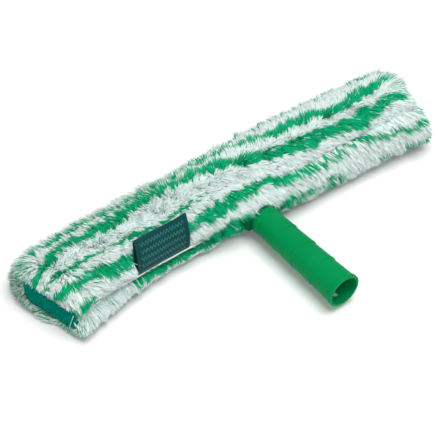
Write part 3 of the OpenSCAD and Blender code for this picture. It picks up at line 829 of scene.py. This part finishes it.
def grow(name, u, s, body, seed, width=0.34, clear=None):
    """Tufts at the points u, s of the cloth."""
    r = np.random.default_rng(seed)
    n = len(u)
    t = t_of_s(s)
    roots = surface(u, t, 0)
    normals = unit(surface(u, t, 1) - roots)
    du, ds, combed = lay(u, s)
    cu, cs = clump_shift(u, s)
    pull = 0.25 + 0.4 * np.clip(0.5 + 0.7 * shade_field(u, s), 0, 1)
    du = du + r.normal(0, 0.9, n) + pull * cu
    ds = ds + r.normal(0, 0.9, n) + pull * cs
    s2 = held_at_seam(u, s, np.clip(s + ds, S_MIN, S_MAX))

    # height: more uneven near the opening and where the pile splays at the ends
    splay = np.clip((np.abs(u) - POCKET_HALF + 12) / 14, 0, 1) * np.clip((5 - s) / 15, 0, 1)
    splay = splay * np.where(u > 0, np.clip((s + 26) / 12, 0, 1),
                             np.clip((s + 55) / 12, 0, 1) * np.clip((-15 - s) / 10, 0, 1))
    uneven = 0.1 + 0.14 * ((t > 150) & (t < 182)) + 0.16 * splay
    h = np.clip(r.normal(1.0, uneven, n), 0.5, 1.35 + 0.3 * splay) * (1 + 0.22 * splay * (u > 0))
    h = h * (1 + 0.10 * ruffle_a(u + 31, s) + 0.08 * fine_b(u, s + 17))
    # the slit beside the neck stays a little open, and the pile over the neck hangs down
    slit = np.clip((u + 74) / 10, 0, 1) * np.clip((-24 - u) / 8, 0, 1)
    slit = slit * ((s > S_LIP_EDGE - 2) & (s < S_LIP_EDGE + 7))
    h = h * (1 - 0.6 * slit) * (1 + 0.3 * ((np.abs(u) < 34) & (t > 130) & (t < 160)))
    # little light reaches the slit and the hollow above it
    hollow = np.clip((u + 92) / 8, 0, 1) * np.clip((-40 - u) / 20, 0, 1)
    hollow = hollow * np.clip((s - 43) / 10, 0, 1) * (s < S_LIP_EDGE)
    dim = 1 - 0.45 * slit - 0.34 * hollow * r.uniform(0.3, 1.4, n)

    low, high = surface(u + du, t_of_s(s2), 0), surface(u + du, t_of_s(s2), 1)
    tips = low + (high - low) * h[:, None]
    tips[:, 2] = np.maximum(tips[:, 2], FLOOR + r.uniform(0.1, 1.5, n))
    roots = roots - normals * 0.8
    tips = under_label(tips)
    if clear is not None:
        free = clear(tips)
        roots, tips, normals, u, s, combed, dim = (
            v[free] for v in (roots, tips, normals, u, s, combed, dim))
        n = len(u)

    # colour: few tufts stray from their stripe, and at the closed ends the strands mix
    share = green_share(u, s + 0.6 * combed)
    stray = r.uniform(0, 1, n) < 0.015 + 0.05 * (fine_b(u * 1.5, s * 1.5) > 0.75)
    share = np.where(stray, 1 - share, share)
    broken = 0.75 * np.clip((np.abs(u) - POCKET_HALF + 5) / 10, 0, 1)
    broken = broken * np.where(u > 0, 1.0, (s < -22) | (s > 50))
    share = np.where(r.uniform(0, 1, n) < broken, (r.uniform(0, 1, n) < 0.36) * 1.0, share)
    return tufts(name, roots, tips, normals, share, body, width, seed, dim)


def chunked(tag, us, ss, body, parts, seed, keep=None, density=DENSITY, **how):
    """Pile over a field of the cloth, cut into parts along u."""
    edges = np.linspace(*us, parts + 1)
    out = []
    for i in range(parts):
        u, s = scatter(edges[i], edges[i + 1], *ss, seed + i, density)
        if keep is not None:
            kept = keep(u, s)
            u, s = u[kept], s[kept]
        name = f"{tag}_{i + 1}" if parts > 1 else tag
        out.append(grow(name, u, s, body, seed + i, **how))
    return out


def off_label(u, s):
    """Which points have no label over their roots."""
    return ~((np.abs(u - LABEL_X - 2) < 30) & (s > 34) & (s < 60))


def clear_of(*sides):
    """Test for tips that leave the scrub pads of the named sides free."""
    def test(tips):
        free = np.ones(len(tips), bool)
        for side in sides:
            over, height = on_pad(tips, side)
            free &= ~(over & (height > -1))
        return free
    return test


def thinned(side):
    """Test for points of a closed end: none under the pad or at the middle, fewer inward."""
    def test(u, s):
        over = np.abs(u) - POCKET_HALF
        covered, _ = on_pad(surface(u, t_of_s(s), 0), side)
        share = np.clip(1.25 - np.maximum(over - END_ARC, 0) / 26, 0.2, 1)
        thin = rng.uniform(0, 1, len(u)) < share
        return ~(covered & (over > END_ARC - 3)) & (over <= END_ARC + 22) & thin
    return test


WHOLE = (-POCKET_HALF, POCKET_HALF)
END_REACH = POCKET_HALF + END_ARC + 26
both = clear_of(-1, 1)
coarse = {"density": 1.3, "width": 0.45}
chunked("pile_back_top", WHOLE, (S_BACK, S_FOLD), "scrubber", 4, 100)
chunked("pile_lip", WHOLE, (S_LIP_EDGE, S_BELOW), "scrubber", 2, 200, clear=both)
chunked("pile_under", WHOLE, (S_BELOW, S_MAX), "scrubber", 2, 220, clear=both, **coarse)
chunked("pile_back_low", WHOLE, (S_MIN, S_BEHIND), "scrubber", 3, 300, clear=both, **coarse)
chunked("pile_back_mid", WHOLE, (S_BEHIND, S_BACK), "scrubber", 2, 320, clear=both, density=1.05)
chunked("pile_bridge_top", (-SLOT, SLOT), (S_FOLD, S_BRIDGE), "scrubber", 1, 400)
for side, tag in SIDES:
    flap = sorted((side * (SLOT + SEAM_GAP), side * (POCKET_HALF - SEAM_GAP)))
    pile_pieces = chunked("pile_flap_" + tag, flap, (S_FOLD, S_FLAP_EDGE), None, 1, 500 + side * 10,
                          keep=off_label if side < 0 else None, clear=clear_of(side))
    for o in pile_pieces:
        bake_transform(o)
    end = sorted((side * POCKET_HALF, side * END_REACH))
    chunked("pile_end_" + tag, end, (S_MIN, S_MAX), "scrubber", 1, 700 + side * 10,
            keep=thinned(side), clear=clear_of(side))


# ---- binding, label, pads and stitches


def rod(name, rings, line):
    """Closed mesh from rings of points along a line, which gives the middle of both ends."""
    n, m = rings.shape[:2]
    idx = np.arange(n * m).reshape(n, m)
    nxt = np.roll(idx, -1, 1)
    quads = np.stack([idx[:-1], nxt[:-1], nxt[1:], idx[1:]], -1).reshape(-1, 4)
    verts = np.concatenate([rings.reshape(-1, 3), line[:1], line[-1:]])
    tris = np.concatenate([np.stack([nxt[0], idx[0], np.full(m, n * m)], -1),
                           np.stack([idx[-1], nxt[-1], np.full(m, n * m + 1)], -1)])
    return new_mesh(name, verts, quads, tris)


def tube(name, line, radius, sides=6):
    """Round thread along a line."""
    tan = unit(np.gradient(line, axis=0))
    a = unit(np.cross(tan, np.array([0.13, 0.27, 0.95])))
    b = np.cross(tan, a)
    ang = np.linspace(0, 2 * math.pi, sides, endpoint=False)[None, :, None]
    rings = line[:, None] + (a[:, None] * np.cos(ang) + b[:, None] * np.sin(ang)) * radius
    return rod(name, rings, line)


def join(parts, name):
    bpy.ops.object.select_all(action="DESELECT")
    for p in parts:
        p.select_set(True)
    bpy.context.view_layer.objects.active = parts[0]
    bpy.ops.object.join()
    parts[0].name = name
    return parts[0]


# flat bound edge of the flaps: a strip with a lens-shaped section
BINDING_HALF, BINDING_THICK = 1.35, 0.6
for side, tag in SIDES:
    xs = side * np.linspace(SLOT + 0.6, POCKET_HALF - 0.8, 130)
    y = HEAD_Y + SEAM_Y - 0.45 * np.sin(xs / 17) - 0.4 * np.sin(xs / 6.1 + 1)
    z = 0.25 * np.sin(xs / 11)
    if side < 0:
        # between the label and the neck it lies further in and lower
        near = np.clip((np.abs(xs) - 64) / 20, 0, 1)
        y, z = y + 3.0 * (1 - near), SEAM_Z - 4.0 * (1 - near) + z
    else:
        y, z = y + 3.6, 1.2 + z
    line = np.stack([xs, y, z], -1)
    ang = np.linspace(0, 2 * math.pi, 12, endpoint=False)
    profile = np.stack([0 * ang, BINDING_HALF * np.cos(ang), BINDING_THICK * np.sin(ang)], -1)
    o = rod("bound_edge_" + tag, line[:, None] + profile[None], line)
    outward(o)
    o.data.materials.append(mat_binding)
    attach(o, "flap_" + tag)
    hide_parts("flap_binding_" + tag)

LABEL_THICK = 0.45
LABEL_SHEAR = 0.13      # lean of the label's sides to the right, per mm of height
INNER_LEAF = 100        # added to the height in the map, so that the two leaves keep apart


def label_line(n):
    """The label's front as a smooth line: y, z and the height along it."""
    d = arc_length(LEAN_Y, LEAN_Z)
    fine = np.linspace(0, d[-1], 400)
    window = np.hanning(61)
    window /= window.sum()
    y, z = (np.convolve(np.pad(np.interp(fine, d, v), 30, mode="reflect", reflect_type="odd"),
                        window, "valid") for v in (LEAN_Y, LEAN_Z))
    d = arc_length(y, z)
    v = np.linspace(0, min(LABEL_H, d[-1]), n)
    return np.interp(v, d, y), np.interp(v, d, z), v


def to_front(y, z, *spacing):
    """Unit normals of a line in the Y-Z plane, on the side of the handle."""
    ty, tz = np.gradient(y, *spacing), np.gradient(z, *spacing)
    length = np.hypot(ty, tz)
    ny, nz = -tz / length, ty / length
    return (-ny, -nz) if ny[1] > 0 else (ny, nz)


def label_piece(y, z, v, ny, nz):
    """Folded tape: the outer leaf runs up, the inner leaf comes down behind it."""
    us = np.linspace(0, LABEL_W, 60)
    gap = loop_gap(z)
    y_f = np.concatenate([y, (y - ny * gap)[::-1]])
    z_f = np.concatenate([z, (z - nz * gap)[::-1]])
    v_f = np.concatenate([v, v[::-1] + INNER_LEAF])
    up = v_f % INNER_LEAF
    oy, oz = to_front(y_f, z_f)
    shear = LABEL_SHEAR * np.minimum(up, LABEL_H)
    wave = 0.5 * np.sin(us / 9.0)[:, None] * np.minimum(up, 20)[None, :] / 20
    grid = []
    for off in (0.0, LABEL_THICK):
        g = np.empty((len(us), len(y_f), 3))
        g[..., 0] = LABEL_X - LABEL_W / 2 + us[:, None] + shear[None, :]
        g[..., 1] = HEAD_Y + (y_f + oy * (LABEL_THICK - off))[None, :] + oy[None, :] * wave
        g[..., 2] = (z_f + oz * (LABEL_THICK - off))[None, :] + oz[None, :] * wave
        grid.append(g)
    obj = shell("label_tape", *grid)
    uv = obj.data.uv_layers.new(name="weave")
    uu = np.tile(np.repeat(us, len(v_f)), 2)
    vv = np.tile(v_f, 2 * len(us))
    vi = np.empty(len(obj.data.loops), np.int32)
    obj.data.loops.foreach_get("vertex_index", vi)
    uv.data.foreach_set("uv", np.stack([uu[vi], vv[vi]], -1).astype(np.float32).ravel())
    obj.data.materials.append(mat_label)
    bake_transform(obj)
    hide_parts("label")


def label_stitches(y, z, v, ny, nz):
    """Nine stitches over the label's foot, and two loose threads across its open left side."""
    parts = []
    yy, zz, ny, nz = (np.interp(3.0, v, values) for values in (y, z, ny, nz))
    bow = 2.3 + 0.25 * np.sin(np.linspace(0, math.pi, 8))
    for i in range(9):
        a = 3 + i * 6.6
        xs = LABEL_X - LABEL_W / 2 + np.linspace(a, a + 4.2, 8)
        line = np.stack([xs, HEAD_Y + yy + ny * bow, zz + nz * bow], -1)
        parts.append(tube(f"label_stitch_{i + 1}", line, 0.22))
    q = np.linspace(0, 1, 10)
    for i, (low, high) in enumerate(((9.0, 11.5), (17.5, 19.5))):
        zz = low + (high - low) * q
        xs = LABEL_X - LABEL_W / 2 + LABEL_SHEAR * zz + 1.5 - 7.0 * q
        front = np.interp(zz, LEAN_Z, LEAN_Y)
        y = HEAD_Y + front - 0.6 + 9.5 * q + 1.2 * np.sin(q * math.pi)
        parts.append(tube(f"label_loose_{i + 1}", np.stack([xs, y, zz], -1), 0.28))
    o = join(parts, "label_thread")
    o.data.materials.append(mat_thread)
    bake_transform(o)
    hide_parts("label_stitching")


label_y, label_z, label_v = label_line(40)
label_lines = (label_y, label_z, label_v, *to_front(label_y, label_z, label_v))
label_piece(*label_lines)
label_stitches(*label_lines)


def pad_piece(side, tag):
    """Felt pad with soft corners, bowed a little over the end, and its line of stitches."""
    base, out, fwd = end_plane(side)
    base = base + np.array([0, 0, PAD_Z])
    A, B = np.meshgrid(np.linspace(-1, 1, 64), np.linspace(-1, 1, 30), indexing="ij")
    # square to rounded rectangle
    px = PAD_L / 2 * A * np.sqrt(1 - 0.10 * B ** 2 * A ** 8)
    pz = PAD_H / 2 * B * np.sqrt(1 - 0.42 * A ** 8)
    edge = np.maximum(np.abs(A) ** 7, np.abs(B) ** 5)
    r = np.random.default_rng(31 + side)
    lump = Field(11, 41 + side, 10)
    top = 3.0 - 1.5 * edge + 0.28 * lump(px, pz) + 0.12 * r.normal(0, 1, A.shape) * (edge < 0.9)

    def place(h):
        return (base + (PAD_FWD + px)[..., None] * fwd + h[..., None] * out
                + pz[..., None] * np.array([0, 0, 1.0]))

    obj = shell("felt_pad_" + tag, place(top), place(0.0 * top))
    obj.data.materials.append(mat_felt)
    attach(obj, "scrubber")
    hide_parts("scrub_pad_" + tag)
    parts = []
    for i in range(5):
        z0 = PAD_Z - 0.38 * PAD_H + i * PAD_H / 6.6
        zz = np.linspace(z0, z0 + 3.6, 8)
        h = 2.9 + 0.35 * np.sin(np.linspace(0, math.pi, 8))
        ahead = PAD_FWD + PAD_L / 2 - 11.0 + 9.5 * (zz - PAD_Z + PAD_H / 2) / PAD_H
        line = base + ahead[:, None] * fwd + h[:, None] * out
        line[:, 2] = zz
        parts.append(tube(f"pad_stitch_{tag}_{i + 1}", line, 0.35))
    o = join(parts, "pad_thread_" + tag)
    o.data.materials.append(mat_thread)
    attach(o, "scrubber")
    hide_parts("pad_stitching_" + tag)


for side, tag in SIDES:
    pad_piece(side, tag)


# ---- floor, light and camera

FLOOR_HALF = 4.0        # metres
FLOOR_DROP = 0.0004     # metres below the lowest tufts

floor_mat, _, b = material("pale_floor")
b.inputs["Base Color"].default_value = (0.96, 0.96, 0.96, 1)
b.inputs["Roughness"].default_value = 0.9
b.inputs["Specular IOR Level"].default_value = 0.1
me = bpy.data.meshes.new("floor")
me.from_pydata([(x * FLOOR_HALF, y * FLOOR_HALF, FLOOR * MM - FLOOR_DROP)
                for x, y in ((-1, -1), (1, -1), (1, 1), (-1, 1))], [], [(0, 1, 2, 3)])
floor = bpy.data.objects.new("floor", me)
bpy.context.scene.collection.objects.link(floor)
me.materials.append(floor_mat)

WORLD_LIGHT, WORLD_SEEN = 0.43, 1.0
world = bpy.data.worlds.new("studio")
bpy.context.scene.world = world
world.use_nodes = True
wn = world.node_tree
bg = next(n for n in wn.nodes if n.type == "BACKGROUND")
bg.inputs["Color"].default_value = (1, 1, 1, 1)
# the camera and glossy surfaces see a white surround
path = wn.nodes.new("ShaderNodeLightPath")
seen = math_node(wn, "MAXIMUM", path.outputs["Is Camera Ray"], path.outputs["Is Glossy Ray"])
wn.links.new(value_range(wn, seen, 0.0, 1.0, WORLD_LIGHT, WORLD_SEEN), bg.inputs["Strength"])


def area(name, place, target, size, power):
    li = bpy.data.lights.new(name, "AREA")
    li.shape = "RECTANGLE"
    li.size = li.size_y = size
    li.energy = power
    o = bpy.data.objects.new(name, li)
    bpy.context.scene.collection.objects.link(o)
    o.location = place
    o.rotation_euler = (Vector(target) - Vector(place)).to_track_quat("-Z", "Y").to_euler()


area("top_soft", (0.08, -0.3, 2.2), (0, 0.12, 0), 1.5, 42)
area("front_fill", (-0.9, -1.1, 0.9), (0, 0.15, 0), 0.9, 4.5)

# camera fitted to the photograph: angles, distance in mm, focal length and width in pixels
AZIMUTH, ELEVATION, DISTANCE = math.radians(-37.8), math.radians(45.9), 1400.0
FOCAL_PX, PHOTO_PX, SENSOR = 1347.0, 438.0, 36.0
SHIFT_RIGHT, SHIFT_UP = -15.0, -11.4
back = np.array([math.sin(AZIMUTH) * math.cos(ELEVATION),
                 -math.cos(AZIMUTH) * math.cos(ELEVATION), math.sin(ELEVATION)])
right = unit(np.cross([0, 0, 1.0], back))
up = np.cross(back, right)
eye = back * DISTANCE + right * SHIFT_RIGHT + up * SHIFT_UP + np.array([0, HEAD_Y, FLOOR])
cam_data = bpy.data.cameras.new("camera")
cam = bpy.data.objects.new("camera", cam_data)
bpy.context.scene.collection.objects.link(cam)
turn = Matrix(np.stack([right, up, back], -1).tolist()).to_4x4()
cam.matrix_world = Matrix.Translation(Vector(eye * MM)) @ turn
cam_data.sensor_width = SENSOR
cam_data.lens = FOCAL_PX / PHOTO_PX * SENSOR
cam_data.clip_start, cam_data.clip_end = 0.05, 20.0
bpy.context.scene.camera = cam
bpy.context.scene.view_settings.view_transform = "Standard"
